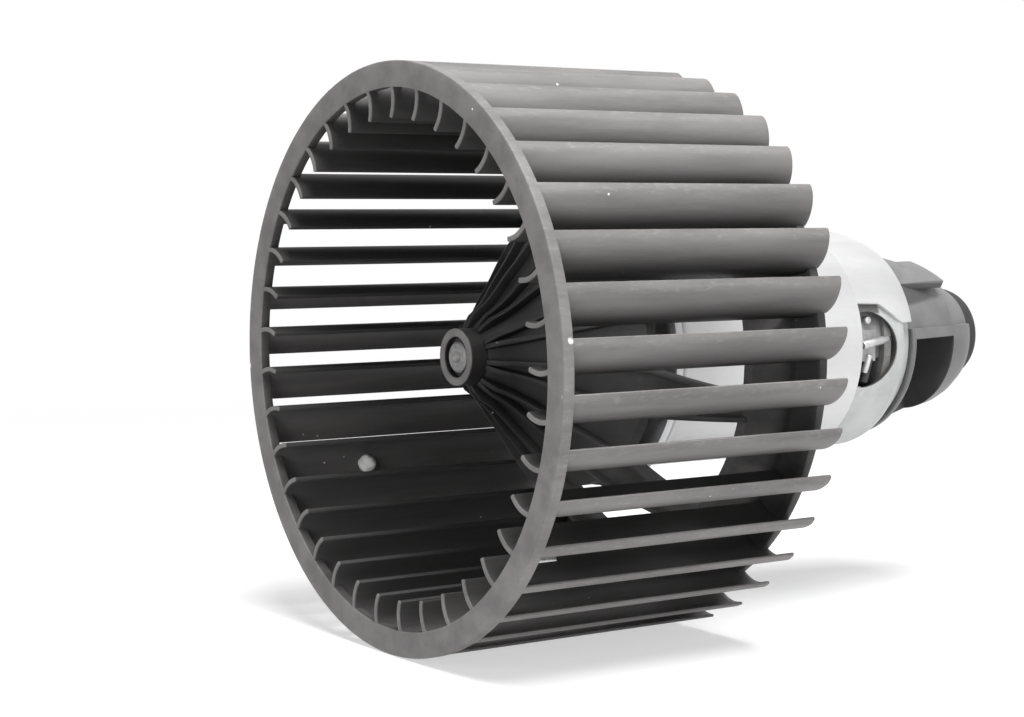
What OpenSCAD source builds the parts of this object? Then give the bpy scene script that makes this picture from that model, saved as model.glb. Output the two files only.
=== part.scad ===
// Heater blower: a drum fan wheel on the shaft of a permanent magnet motor.
// The part is drawn upright on the motor's seat plane, with the inlet end up
// (local z), and each node is then laid over so that the shaft lies along Y
// and the inlet faces -Y. Angles count from +X towards +Z, seen from the inlet.

/* [Fan wheel] */
// Outer radius of the wheel over its blade tips
wheel_r = 75; // [72:0.5:85]
// Length of the blades, from the inlet face to their free tails
wheel_len = 86.6; // [82:0.2:94]
// Distance from the motor's seat plane to the inlet face
inlet_z = 110; // [106:0.5:116]
// Number of blades
blade_count = 37; // [29:1:41]
// Radial depth of the blades, from their tips to their inner edges
blade_depth = 14.2; // [12:0.2:16]
// Radius of the arc that a blade's section follows
blade_arc_r = 9.7; // [9.4:0.1:12]
// Thickness of a blade
blade_t = 1.25; // [0.9:0.05:1.6]
// Angle by which a blade's tip leads its inner edge
blade_lead = 5.45; // [4:0.05:6]
// Angle of the first blade's tip
blade_phase = 81.2; // [70:0.1:90]
// Radial width of the inlet ring
ring_w = 6.6; // [5:0.1:8]
// Axial thickness of the inlet ring
ring_t = 3; // [2:0.1:5]
// Step of the inlet ring's edge over the blade tips
ring_step = 0.1; // [0.05:0.05:0.4]

/* [Wheel back ring] */
// Distance of the back ring's lip inside the blade tips
lip_inset = 6.8; // [6:0.1:9]
// Axial thickness of the lip
lip_t = 2.6; // [2:0.1:4]
// Distance by which the blade tails stand behind the lip
tail_stand = 0.6; // [0.2:0.1:2]
// Radius of the hole in the middle of the back ring
back_in_r = 51; // [49:0.5:53]
// Depth of the dish from the lip's rear face to its inner edge
back_dish = 12.5; // [11:0.5:16]
// Wall of the back ring
back_t = 2; // [1.5:0.1:3]

/* [Wheel hub] */
// Distance of the boss face behind the inlet face
hub_setback = 20; // [16:0.5:24]
// Outer radius of the boss
boss_r = 7.4; // [6.8:0.1:9]
// Length of the boss
boss_len = 24; // [18:0.5:28]
// Length of the boss in front of the bell
boss_show = 5.5; // [4:0.1:7]
// Radius and depth, behind the boss face, where the boss flares into the cone
flare_r = 12; // [10:0.5:14]
flare_depth = 12; // [10:0.2:14]
// Radius and depth where the cone ends
cone_r = 24; // [22:0.5:27]
cone_depth = 23.8; // [21:0.2:27]
// Radius and depth of the bell's shoulder
shoulder_r = 36; // [34:0.5:38]
shoulder_depth = 35; // [32:0.2:38]
// Radius and depth of the bell's waist, between shoulder and back ring
waist_r = 46.5; // [45:0.5:48]
waist_depth = 46; // [44:0.5:50]
// Wall of the bell and of its arms
bell_t = 2.2; // [1.8:0.1:3]
// Number of arms
arm_count = 9; // [7:1:9]
// Angle of the first arm
arm_phase = 27; // [0:0.5:40]
// Width of an arm at the bell's shoulder
arm_root_w = 13; // [11:0.2:15]
// Width of an arm at the back ring
arm_tip_w = 7; // [6:0.2:9]
// Thickness of the ribs on the arms' edges
rib_t = 1.4; // [1:0.1:2]
// Height of the ribs over the bell
rib_h = 2.2; // [1.6:0.1:3]
// Radius of the recess in the boss face
recess_r = 5.3; // [5.1:0.1:6]
// Depth of the recess in the boss face
recess_depth = 2.6; // [2:0.1:4]

/* [Shaft] */
// Shaft radius
shaft_r = 4; // [3.5:0.1:4.5]
// Distance of the shaft's front end behind the boss face
shaft_back = 0.4; // [0.2:0.1:1]
// Distance by which the shaft stands out behind the rear bearing
shaft_tail = 1; // [0.5:0.1:1.4]
// Radial running clearance in the bearings
run_gap = 0.03; // [0.02:0.01:0.06]
// Clearance between turning and fixed pieces, end to end
end_gap = 0.35; // [0.3:0.05:0.5]
// Thickness of the push-on hub clip
clip_t = 0.8; // [0.5:0.1:1.2]

/* [Motor can] */
// Outer radius of the can, where the heater case clamps it
can_r = 32; // [31:0.1:33]
// Wall of the can
can_t = 1.4; // [1.2:0.1:1.8]
// Height of the can's front end over the seat plane
can_front = 43.8; // [42:0.2:46]
// Depth of the can's rear edge behind the seat plane
can_rear = 23.2; // [22:0.2:25]
// Depth of the end cup's web behind the seat plane
web_z = 40; // [39:0.2:42]
// Radius of the flange on the can and the front plate
flange_r = 36.2; // [35.5:0.1:37]
// Thickness of the can's flange
flange_t = 2; // [1.6:0.1:2.6]
// Depth at which the can's upper half, drawn on over the end cup, starts to narrow
hood_bend = 34; // [33.6:0.1:36]
// Distance by which this hood ends short of the cap
hood_short = 0.7; // [0.4:0.1:2]
// Thickness of its edge, pressed down on the end cup's neck
hood_edge = 0.6; // [0.4:0.1:1]
// Half the angle that this hood spans
hood_half = 79; // [70:1:82]
// Height of the notch in the hood's corners over the shaft axis
notch_top = 11.5; // [10:0.5:13]
// Length of that notch along the shaft
notch_len = 10.3; // [9:0.1:12]
// Radius of the brush openings in the end cup
opening_r = 11.5; // [10:0.5:12]

/* [Front plate and bearings] */
// Thickness of the front plate
plate_t = 2.2; // [1.8:0.1:2.8]
// Outer radius of the bearing bushes
bush_r = 8; // [7.5:0.1:8.5]
// Length of a bearing bush
bush_len = 9; // [8:0.2:10]
// Wall of the bearing cups
cup_t = 2; // [1.6:0.1:2.6]
// Radius of the front plate's air holes
vent_r = 4; // [3:0.1:5]
// Radius of the circle of air holes
vent_circle_r = 22; // [20:0.5:24]
// Number of air holes
vent_count = 6; // [4:1:8]
// Thickness of the bearing retainers
retainer_t = 0.6; // [0.5:0.1:0.9]
// Outer radius of the bearing retainers
retainer_r = 12.5; // [12:0.5:14]
// Radius of the flange rivets
rivet_r = 1; // [0.8:0.1:1.2]
// Distance of the rivets inside the edge of the front plate's flange
rivet_edge = 1.9; // [1.8:0.1:2.2]
// Number of flange rivets
rivet_count = 4; // [3:1:6]

// Radial wall and length of the front plate's spigot inside the can
spigot_w = 2; // [1.5:0.1:2.5]
spigot_len = 2.5; // [2:0.1:4]
// Thickness of the bearing cups' floors
cup_floor = 1.6; // [1.2:0.1:2]
// Clearance of the bearing cups' floors round the shaft
shaft_gap = 1.2; // [1:0.1:2]

/* [Magnets and armature] */
// Outer radius of the armature core
core_r = 21.9; // [21:0.1:22.2]
// Air gap between core and magnets
air_gap = 0.6; // [0.5:0.1:1]
// Length of the armature core
core_len = 34; // [30:0.5:36]
// Height of the core's front end over the seat plane
core_front = 27; // [25:0.5:28]
// Number of core slots and commutator bars
slot_count = 12; // [10:1:14]
// Radius of a core slot
slot_r = 2.6; // [2.2:0.1:2.9]
// Width of a slot's mouth
slot_mouth = 1.8; // [1.4:0.1:2.2]
// Length of the winding's end turns
end_turn = 8; // [7:0.5:9]
// How far the magnets reach past the core at each end
magnet_over = 4; // [3:0.5:5]
// Half the angle that a magnet spans
magnet_half = 60; // [55:1:65]

/* [Commutator and brushes] */
// Outer radius of the commutator
comm_r = 10.6; // [10:0.1:11]
// Depth of the copper in the commutator
comm_t = 2.4; // [2:0.1:3]
// Width of the cuts between the bars
comm_cut = 0.7; // [0.5:0.1:0.9]
// Width of a brush across the shaft
brush_w = 6.4; // [5.6:0.1:7]
// Height of a brush along the shaft
brush_h = 6; // [5:0.1:6.6]
// Length of a brush
brush_len = 9; // [8:0.2:10]
// Clearance of a brush in its tube
brush_gap = 0.35; // [0.3:0.05:0.5]
// Wall of a brush tube
tube_t = 0.8; // [0.6:0.1:1]
// Distance of the brushes behind the seat plane
brush_z = 28; // [27.4:0.1:28.2]
// Thickness of the brush plate
brush_plate_t = 2.6; // [2:0.1:3]
// Wire radius of the brush springs
spring_wire_r = 0.45; // [0.35:0.05:0.6]
// Turns of a brush spring
spring_turns = 5; // [4:1:7]
// Radius of the stranded brush leads
lead_r = 0.8; // [0.6:0.1:1]

// Height of the brush plate over the end cup's web
board_lift = 3; // [2.5:0.1:4]
// Margin of the brush plate round the rear bearing's cup, and inside the end cup
board_hole_gap = 3; // [2:0.1:4]
board_edge_gap = 1.7; // [1.5:0.1:2.5]

/* [Rear cap and socket] */
// Radius of the cap's base
cap_r = 27.6; // [27:0.1:28.4]
// Radius of the cap's round body over the rear end of its socket
cap_mid_r = 21.4; // [20.5:0.1:23]
// Radius of this body just before the cap's rear end
cap_back_r = 16.6; // [15.5:0.1:18]
// Radius of the fuller housing round the socket, at the socket's rear end
housing_r = 21.6; // [21:0.1:23]
// Radius of this housing just before the cap's rear end
housing_back_r = 19.6; // [18.5:0.1:20.5]
// Height of this housing's top over the shaft axis
housing_top = 4; // [2:0.2:6]
// Radius of the cap's rear end
cap_end_r = 14.1; // [13:0.1:15]
// Length of the cap
cap_len = 37.3; // [36:0.1:40]
// Wall of the cap
cap_t = 2; // [1.6:0.1:2.6]
// Length of the socket bay along the shaft
bay_len = 21.2; // [20:0.2:22]
// Height of the bay's roof over the shaft axis
bay_roof = 1; // [0:0.2:2]
// Side wall of the bay, beyond the shaft axis
bay_side = 2; // [1:0.2:3]
// Width and length of the narrow part of the T-shaped socket
tee_stem_w = 8.7; // [8.4:0.1:9.2]
tee_stem_len = 10.2; // [9.8:0.1:10.6]
// Width and length of the wide part of the T-shaped socket
tee_bar_w = 12.4; // [12:0.1:13]
tee_bar_len = 8.4; // [8:0.1:8.8]
// Depth of the socket
tee_depth = 10.5; // [9:0.5:11.5]
// Width of the terminal blades
blade_term_w = 6.3; // [4.8:0.1:6.3]
// Thickness of the terminal blades
blade_term_t = 0.8; // [0.6:0.1:1]
// Distance of the flat pad on top of the cap from the shaft axis
pad_out = 23.9; // [23.4:0.1:24.6]
// Half the width of this pad, and its thickness
pad_half = 7.2; // [6:0.1:8]
pad_t = 3; // [2:0.1:4]
// Length by which the pad ends short of the socket's rear end
pad_short = 2.8; // [1:0.1:6]
// Angle of the pad round the shaft
pad_angle = 68; // [60:1:75]
// Length of the rubber plug on the cap's rear end
plug_len = 5.5; // [4:0.1:7]
// Radius of the plug's rear end
plug_end_r = 12.2; // [11:0.1:13]

/* [Chokes] */
// Radius of a choke's ferrite rod
choke_r = 2; // [1.6:0.1:2.4]
// Length of a choke's ferrite rod
choke_len = 15; // [12:0.5:18]
// Wire radius of the choke coils
choke_wire_r = 0.5; // [0.4:0.05:0.7]
// Turns of a choke coil
choke_turns = 9; // [6:1:11]

/* [Balance marks] */
// Size of the balance clip on a blade, along the blade
balance_clip_len = 7; // [5:0.5:9]
// Radius of the balance dab on a blade's inner edge
dab_r = 1.7; // [1.2:0.1:2]

/* [Hidden] */

$fn = 96;
// Overlap that makes a cut or a joint between pieces of one moulding clean
eps = 0.01;
// Reach of a cutter past the metal that it cuts
cut_over = 1;
// Radius that is surely outside the part
far_r = 2 * wheel_r;

// Thrust washers beside the bearings
washer_t = 1.2;
washer_r = 7;

// Radii of the wheel
blade_in_r = wheel_r - blade_depth;
lip_r = wheel_r - lip_inset;

// Stations of the wheel along the shaft
tail_z = inlet_z - wheel_len;
lip_z = tail_z + tail_stand;
boss_z = inlet_z - hub_setback;
ring_in_r = wheel_r - ring_w;
back_in_z = lip_z + back_dish;
cone_root_r = blade_in_r + 0.5;
cone_root_z = lip_z + lip_t + 1.7;
lip_w = 2;
bead_w = 3;

// Stations of the motor along the shaft
plate_z = can_front + plate_t;
bush_front_z = plate_z + 9.4;
bush_rear_z = bush_len - (web_z + 3);
core_rear = core_front - core_len;
magnet_r = core_r + air_gap;
can_in_r = can_r - can_t;
comm_front = core_rear - end_turn - 1;
comm_rear = bush_rear_z + end_gap + washer_t;
shaft_front = boss_z - shaft_back;
shaft_rear = bush_rear_z - bush_len - shaft_tail;
cup_rear_z = shaft_rear - 1.2;
cup_front_z = core_rear - magnet_over - 3;
seat_r = can_in_r - 0.05;
cup_corner = 1.6;
cup_neck_r = cap_r + 0.8;
hood_rear = web_z + 6 - hood_short;
hood_in_r = cup_neck_r + 0.05;
hood_end_r = hood_in_r + hood_edge;

// The brush gear
tube_in_w = brush_w + 2 * brush_gap;
tube_in_h = brush_h + 2 * brush_gap;
brush_tip = comm_r + 0.3;
brush_end = brush_tip + brush_len;
tube_front = comm_r + 2.4;
tube_end = can_in_r - 3;
spring_coil_r = min(brush_w, brush_h) / 2 - spring_wire_r - 0.2;
brush_plate_z = -(web_z - board_lift);
brush_plate_top = brush_plate_z + brush_plate_t;
lead_x = brush_end - 2.2;
lead_bend_r = tube_in_w / 2 + tube_t + lead_r - 0.6;
lead_drop_y = 2 * lead_bend_r;

// The cap and its socket bay
cap_z = -(web_z + 6);
cap_end_z = cap_z - cap_len;
bay_z = cap_z - 2.3;
bay_end_z = bay_z - bay_len;
tee_x = bay_side + 2 + tee_bar_w / 2;
tee_z = bay_z - (bay_len - tee_bar_len - tee_stem_len) / 2;
tee_split_z = tee_z - tee_bar_len;
tee_top = bay_roof + tee_depth;
block_top = tee_top + cap_t;
neck_r = 9;
choke_y = 9;
choke_x = -15;
choke_top_z = -(web_z + 2);

// Places of the two balance marks, on the inner edges of two blades
blade_step = 360 / blade_count;
function nearest_blade(a) = blade_phase - blade_step * round((blade_phase - a) / blade_step);
clip_blade = nearest_blade(-47);
dab_blade = nearest_blade(213);
clip_z = inlet_z - 14;
dab_z = inlet_z - 24;

function polar(r, a) = [r * cos(a), r * sin(a)];
function turn_left(v) = [-v.y, v.x];
function unit(v) = v / norm(v);

// Lays an upright piece over, so that its z becomes -Y and its y becomes Z
module lay() {
    rotate([90, 0, 0]) children();
}

// Repeats a shape round the shaft
module ring_of(count, first = 0) {
    for (i = [0:count - 1]) rotate(first + i * 360 / count) children();
}

// A flat ring from height low to height high
module tube(outer, inner, low, high) {
    translate([0, 0, low]) linear_extrude(high - low) difference() {
        circle(outer);
        circle(inner);
    }
}

// A solid disc from height low to height high
module disc(outer, low, high) {
    translate([0, 0, low]) cylinder(h = high - low, r = outer);
}

// Everything at an angle of up to half on each side of direction a
module sector(half, a = 0) {
    rotate(a) polygon([
        [0, 0], polar(far_r, -half), polar(far_r, -half / 3),
        polar(far_r, half / 3), polar(far_r, half)]);
}

// Fan wheel, one moulding

// A blade runs along an arc through its inner edge and its tip
edge_in = polar(blade_in_r, -blade_lead);
edge_out = [wheel_r, 0];
chord = edge_out - edge_in;
arc_rise = sqrt(pow(blade_arc_r, 2) - pow(norm(chord) / 2, 2));
arc_centre = (edge_in + edge_out) / 2 + arc_rise * turn_left(unit(chord));
dir_in = unit(edge_in - arc_centre);
dir_out = unit(edge_out - arc_centre);
dir_mid = unit(dir_in + dir_out);

module blade_section() {
    reach = 2.4 * blade_arc_r;
    wedge = [
        arc_centre,
        arc_centre + reach * unit(dir_in - 0.3 * dir_mid),
        arc_centre + reach * dir_mid,
        arc_centre + reach * unit(dir_out - 0.05 * dir_mid)];
    intersection() {
        difference() {
            circle(wheel_r - ring_step);
            circle(blade_in_r);
        }
        translate(arc_centre) difference() {
            circle(blade_arc_r + blade_t / 2);
            circle(blade_arc_r - blade_t / 2);
        }
        polygon(wedge);
    }
}

module blades() {
    difference() {
        translate([0, 0, tail_z]) linear_extrude(wheel_len)
            ring_of(blade_count, blade_phase) blade_section();
        // The dish behind the back ring stays clear of blades
        rotate_extrude() polygon([
            [blade_in_r - cut_over, tail_z - cut_over],
            [lip_r - lip_w / 2, tail_z - cut_over],
            [lip_r - lip_w / 2, lip_z + lip_t - back_t / 2],
            [cone_root_r, cone_root_z - back_t / 2],
            [blade_in_r - cut_over, cone_root_z - back_t / 2 + 2 * cut_over]]);
    }
}

module back_ring() {
    rotate_extrude() polygon([
        [back_in_r, back_in_z],
        [back_in_r, back_in_z - back_t - 1],
        [back_in_r + bead_w, back_in_z - back_t - 1],
        [cone_root_r, cone_root_z - back_t],
        [lip_r - lip_w, lip_z + lip_t - back_t],
        [lip_r - lip_w, lip_z],
        [lip_r, lip_z],
        [lip_r, lip_z + lip_t],
        [lip_r - lip_w, lip_z + lip_t],
        [cone_root_r, cone_root_z],
        [back_in_r + bead_w, back_in_z]]);
}

// Outline of the bell, from the boss to the back ring, as radius and height
bell_line = [
    [boss_r - 2, boss_z - boss_show],
    [boss_r, boss_z - boss_show],
    [flare_r, boss_z - flare_depth],
    [cone_r, boss_z - cone_depth],
    [shoulder_r, boss_z - shoulder_depth],
    [waist_r, boss_z - waist_depth],
    [back_in_r + 1.5, back_in_z - back_t / 2]];

// The same line moved out by a distance, square to its run
function side_step(line, i, d) =
    let (a = line[max(i - 1, 0)],
         b = line[min(i + 1, len(line) - 1)])
    line[i] + d * turn_left(unit(b - a));
function moved_line(line, d) = [for (i = [0:len(line) - 1]) side_step(line, i, d)];
function reversed(line) = [for (i = [len(line) - 1:-1:0]) line[i]];

module arm_outline(inset = 0) {
    root = arm_root_w / 2 - inset;
    tip = arm_tip_w / 2 - inset;
    start = boss_r * arm_root_w / (2 * shoulder_r) - inset;
    polygon([
        [boss_r - inset, -start], [shoulder_r, -root], [back_in_r + 2 + inset, -tip],
        [back_in_r + 2 + inset, tip], [shoulder_r, root], [boss_r - inset, start]]);
}

module bell() {
    intersection() {
        rotate_extrude() polygon(concat(bell_line, reversed(moved_line(bell_line, -bell_t))));
        linear_extrude(inlet_z) {
            circle(shoulder_r);
            ring_of(arm_count, arm_phase) arm_outline();
        }
    }
}

module arm_ribs() {
    intersection() {
        rotate_extrude()
            polygon(concat(moved_line(bell_line, rib_h), reversed(moved_line(bell_line, -bell_t / 2))));
        linear_extrude(boss_z - recess_depth) ring_of(arm_count, arm_phase) difference() {
            arm_outline();
            arm_outline(rib_t);
        }
    }
}

module impeller() {
    color("#2b2a2b") lay() difference() {
        union() {
            blades();
            tube(wheel_r, ring_in_r, inlet_z - ring_t, inlet_z);
            back_ring();
            bell();
            arm_ribs();
            disc(boss_r, boss_z - boss_len, boss_z);
        }
        disc(shaft_r, boss_z - boss_len - cut_over, boss_z + cut_over);
        disc(recess_r, boss_z - recess_depth, boss_z + cut_over);
    }
}

// Toothed spring ring that grips the shaft in the boss recess
module hub_clip() {
    color("#3a3a3c") lay() translate([0, 0, boss_z - recess_depth]) linear_extrude(clip_t)
        difference() {
            circle(recess_r - 0.15);
            circle(shaft_r);
            ring_of(6) translate([shaft_r, 0]) square([1.2, 0.6], center = true);
        }
}

// Spring clip pushed over the inner edge of one blade, in line with it
module balance_clip() {
    wall = 0.6;
    gap = 0.25;
    depth = 3;
    bend = 180 / PI * depth / blade_arc_r / 2;
    half_slot = blade_t / 2 + gap;
    color("#b9bcc0") lay() rotate(clip_blade)
        translate([edge_in.x, edge_in.y, clip_z - balance_clip_len])
        rotate(atan2(dir_in.y, dir_in.x) + 90 + bend) linear_extrude(balance_clip_len)
        difference() {
            translate([-gap - wall, -half_slot - wall])
                square([depth + gap + wall, 2 * (half_slot + wall)]);
            translate([-gap, -half_slot]) square([depth + gap + cut_over, 2 * half_slot]);
        }
}

// Dab of balancing putty on the inner edge of one blade
module balance_dab() {
    color("#f4f2ee") lay() rotate(dab_blade - blade_lead) translate([blade_in_r, 0, dab_z])
        rotate([0, -90, 0]) rotate_extrude() intersection() {
            translate([0, -dab_r * 0.6]) circle(dab_r * 1.17);
            square(2 * dab_r);
        }
}

// Rotor of the motor

module shaft() {
    dimple = 1.6;
    chamfer = 0.5;
    color("#a9adb2") lay() rotate_extrude() polygon([
        [0, shaft_rear], [shaft_r - chamfer, shaft_rear],
        [shaft_r, shaft_rear + chamfer], [shaft_r, shaft_front - chamfer],
        [shaft_r - chamfer, shaft_front], [dimple, shaft_front],
        [0, shaft_front - dimple]]);
}

slot_centre_r = core_r - slot_r - 2;

module armature_core() {
    color("#5c5f63") lay() translate([0, 0, core_rear]) linear_extrude(core_len)
        difference() {
            circle(core_r);
            circle(shaft_r);
            ring_of(slot_count) {
                translate([slot_centre_r, 0]) circle(slot_r);
                translate([slot_centre_r, -slot_mouth / 2]) square([slot_r + 4, slot_mouth]);
            }
        }
}

// A doughnut of wire on each end of the core, joined through the slots
module armature_windings() {
    bundle_r = slot_centre_r + slot_r - 0.4;
    bundle_in_r = shaft_r + 3;
    corner = end_turn / 2.2;
    color("#a8592e") lay() {
        for (side = [0, 1])
            translate([0, 0, side ? core_front : core_rear]) mirror([0, 0, 1 - side])
                rotate_extrude() {
                    translate([bundle_in_r, 0]) square([bundle_r - bundle_in_r, end_turn - corner]);
                    translate([bundle_in_r + corner, 0])
                        square([bundle_r - bundle_in_r - 2 * corner, end_turn]);
                    translate([bundle_r - corner, end_turn - corner]) circle(corner);
                    translate([bundle_in_r + corner, end_turn - corner]) circle(corner);
                }
        translate([0, 0, core_rear - eps]) linear_extrude(core_len + 2 * eps)
            ring_of(slot_count) translate([slot_centre_r, 0]) circle(slot_r - 0.3);
    }
}

module commutator_body() {
    color("#4a2f22") lay() tube(comm_r - comm_t, shaft_r, comm_rear, comm_front + 1);
}

module commutator_bars() {
    riser_t = 2;
    color("#b87345") lay() for (part = [0, 1])
        translate([0, 0, part ? comm_front - riser_t : comm_rear + 1])
            linear_extrude(part ? riser_t : comm_front - comm_rear - 1 - riser_t)
                difference() {
                    circle(comm_r + (part ? 1.4 : 0));
                    circle(comm_r - comm_t);
                    ring_of(slot_count, 180 / slot_count) translate([0, -comm_cut / 2])
                        square([far_r, comm_cut]);
                }
}

module front_thrust_washer() {
    color("#d8c9a0") lay() tube(washer_r, shaft_r, bush_front_z - bush_len - end_gap - washer_t,
        bush_front_z - bush_len - end_gap);
}

module rear_thrust_washer() {
    color("#d8c9a0") lay() tube(washer_r, shaft_r, comm_rear - washer_t, comm_rear);
}

// Fixed part of the motor

// Drawn steel can: flange in front, open behind, its upper half drawn out into
// a hood over the end cup, with a notch in each corner beside the brushes
module motor_can() {
    color("#d9dbdd") lay() difference() {
        union() {
            tube(flange_r - 0.3, can_in_r, can_front - flange_t, can_front);
            tube(can_r, can_in_r, -can_rear, can_front);
            intersection() {
                hood_ring();
                translate([0, 0, -hood_rear - cut_over])
                    linear_extrude(hood_rear - can_rear + 2 * cut_over) sector(hood_half, 90);
            }
        }
        translate([-far_r, 0, -can_rear - notch_len])
            cube([2 * far_r, notch_top, notch_len]);
        rivet_holes(can_front - flange_t - cut_over, can_front + cut_over);
    }
}

// The whole ring that the hood is a sector of: straight behind the can, then
// domed on to the end cup's neck, with the inside following the cup's corner
module hood_ring() {
    steps = 6;
    rotate_extrude() polygon(concat(
        [[can_in_r, -can_rear + eps], [can_r, -can_rear + eps]],
        [for (i = [0:steps]) [
            can_r - (can_r - hood_end_r) * pow(i / steps, 2),
            -hood_bend - (hood_rear - hood_bend) * i / steps]],
        [[hood_in_r, -hood_rear], [hood_in_r, -web_z - cup_corner - 0.6],
         [seat_r - cup_corner + 0.3, -web_z - cup_corner / 2],
         [can_in_r, -web_z + 1]]));
}

module rivet_holes(low, high) {
    ring_of(rivet_count, 45) translate([flange_r - rivet_edge, 0, low])
        cylinder(h = high - low, r = rivet_r);
}

module front_plate() {
    color("#c4c7ca") lay() difference() {
        union() {
            tube(flange_r, bush_r, can_front, plate_z);
            tube(can_in_r, can_in_r - spigot_w, can_front - spigot_len, can_front + eps);
            tube(bush_r + cup_t, bush_r, can_front, bush_front_z);
            tube(bush_r + cup_t, shaft_r + shaft_gap, bush_front_z - eps, bush_front_z + cup_floor);
        }
        ring_of(vent_count, 15) translate([vent_circle_r, 0, can_front - cut_over])
            cylinder(h = plate_t + 2 * cut_over, r = vent_r);
        rivet_holes(can_front - cut_over, plate_z + cut_over);
    }
}

// Domed rivets through the can's flange and the front plate
module flange_rivets() {
    head_r = rivet_r + 0.5;
    head_t = 0.8;
    color("#aeb1b5") lay() ring_of(rivet_count, 45) translate([flange_r - rivet_edge, 0, 0]) {
        disc(rivet_r, can_front - flange_t - eps, plate_z + eps);
        disc(head_r, plate_z, plate_z + head_t);
        disc(head_r, can_front - flange_t - head_t, can_front - flange_t);
    }
}

module front_bearing() {
    color("#9c7a45") lay() tube(bush_r, shaft_r + run_gap, bush_front_z - bush_len, bush_front_z);
}

module front_retainer() {
    color("#8d9196") lay() tube(retainer_r, bush_r - 1.5, can_front - retainer_t, can_front);
}

// One of the two ferrite arcs
module magnet(a) {
    translate([0, 0, core_rear - magnet_over]) linear_extrude(core_len + 2 * magnet_over)
        intersection() {
            difference() {
                circle(can_in_r);
                circle(magnet_r);
            }
            sector(magnet_half, a);
        }
}

module magnet_upper() {
    color("#3d3d40") lay() magnet(90);
}

module magnet_lower() {
    color("#3d3d40") lay() magnet(270);
}

// Bowed strip that presses the two magnets apart, on one side of the can
module magnet_spring(a) {
    strip_t = 0.8;
    edge = 90 - magnet_half;
    tab_w = 1.2;
    translate([0, 0, core_rear]) linear_extrude(core_len) rotate(a) {
        intersection() {
            difference() {
                circle(can_in_r);
                circle(can_in_r - strip_t);
            }
            sector(edge - 0.2);
        }
        for (side = [-1, 1]) intersection() {
            difference() {
                circle(can_in_r - strip_t + eps);
                circle(magnet_r + 2);
            }
            sector(tab_w, side * (edge - tab_w - 0.2));
        }
    }
}

module magnet_spring_near() {
    color("#9a9da1") lay() magnet_spring(0);
}

module magnet_spring_far() {
    color("#9a9da1") lay() magnet_spring(180);
}

// Grey end cup: it closes the can, holds the rear bearing, and is open beside
// each brush
module rear_plate() {
    ledge = 2;
    wall = 1.4;
    cup_r = bush_r + cup_t;
    bush_end_z = bush_rear_z - bush_len;
    color("#8b8e92") lay() difference() {
        rotate_extrude() polygon([
            [bush_r, bush_rear_z], [cup_r, bush_rear_z],
            [cup_r, -web_z], [seat_r - wall - ledge, -web_z],
            [seat_r - wall - ledge, brush_plate_z],
            [seat_r - wall, brush_plate_z], [seat_r - wall, cup_front_z],
            [seat_r, cup_front_z], [seat_r, -web_z + cup_corner],
            [seat_r - cup_corner, -web_z - cup_corner / 2],
            [cup_neck_r, -web_z - cup_corner], [cup_neck_r, cap_z],
            [cap_r - 3, cap_z], [cap_r - 3, -web_z - 2],
            [cup_r, -web_z - 2], [cup_r, cup_rear_z],
            [shaft_r + 1.2, cup_rear_z], [shaft_r + 1.2, bush_end_z],
            [bush_r, bush_end_z]]);
        ring_of(vent_count, 15) translate([vent_circle_r - 3, 0, -web_z - 2 - cut_over])
            cylinder(h = 2 + 2 * cut_over, r = vent_r - 1);
        for (side = [-1, 1]) translate([side * (seat_r - wall - ledge - 1), -1, -brush_z])
            rotate([0, side * 90, 0]) cylinder(h = 10, r = opening_r);
    }
}

module rear_bearing() {
    color("#9c7a45") lay() tube(bush_r, shaft_r + run_gap, bush_rear_z - bush_len, bush_rear_z);
}

module rear_retainer() {
    color("#8d9196") lay() tube(bush_r + cup_t, washer_r + 0.4, bush_rear_z, bush_rear_z + retainer_t);
}

// Mirrors a piece to the far side of the shaft
module far_side() {
    rotate(180) children();
}

// Moulded plate with a pedestal under each brush tube
module brush_plate() {
    ring_in = bush_r + cup_t + board_hole_gap;
    color("#5a3a26") lay() {
        tube(seat_r - board_edge_gap, ring_in, brush_plate_z, brush_plate_top);
        for (a = [0, 180]) rotate(a)
            translate([tube_front + 1, -tube_in_w / 2, brush_plate_top - eps])
                cube([tube_end - tube_front - 2, tube_in_w,
                    -brush_z - tube_in_h / 2 - tube_t - brush_plate_top + eps]);
    }
}

// Brass box that guides a brush, with a slot on top for its lead and a closed end
module brush_tube() {
    outer_w = tube_in_w + 2 * tube_t;
    outer_h = tube_in_h + 2 * tube_t;
    difference() {
        translate([tube_front, -outer_w / 2, -brush_z - outer_h / 2])
            cube([tube_end - tube_front, outer_w, outer_h]);
        translate([tube_front - cut_over, -tube_in_w / 2, -brush_z - tube_in_h / 2])
            cube([tube_end - tube_front - tube_t + cut_over, tube_in_w, tube_in_h]);
        translate([lead_x - lead_r - 0.4, -lead_r - 0.4, -brush_z])
            cube([tube_end - lead_x - 2 * tube_t, 2 * lead_r + 0.8, outer_h]);
    }
}

module brush_tube_near() {
    color("#c9a24a") lay() brush_tube();
}

module brush_tube_far() {
    color("#c9a24a") lay() far_side() brush_tube();
}

// Carbon block, its face hollowed to the commutator
module brush() {
    difference() {
        translate([comm_r - 1.5, -brush_w / 2, -brush_z - brush_h / 2])
            cube([brush_end - comm_r + 1.5, brush_w, brush_h]);
        translate([0, 0, -brush_z - brush_h]) cylinder(h = 2 * brush_h, r = brush_tip);
    }
}

module brush_near() {
    color("#2e2e30") lay() brush();
}

module brush_far() {
    color("#2e2e30") lay() far_side() brush();
}

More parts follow.
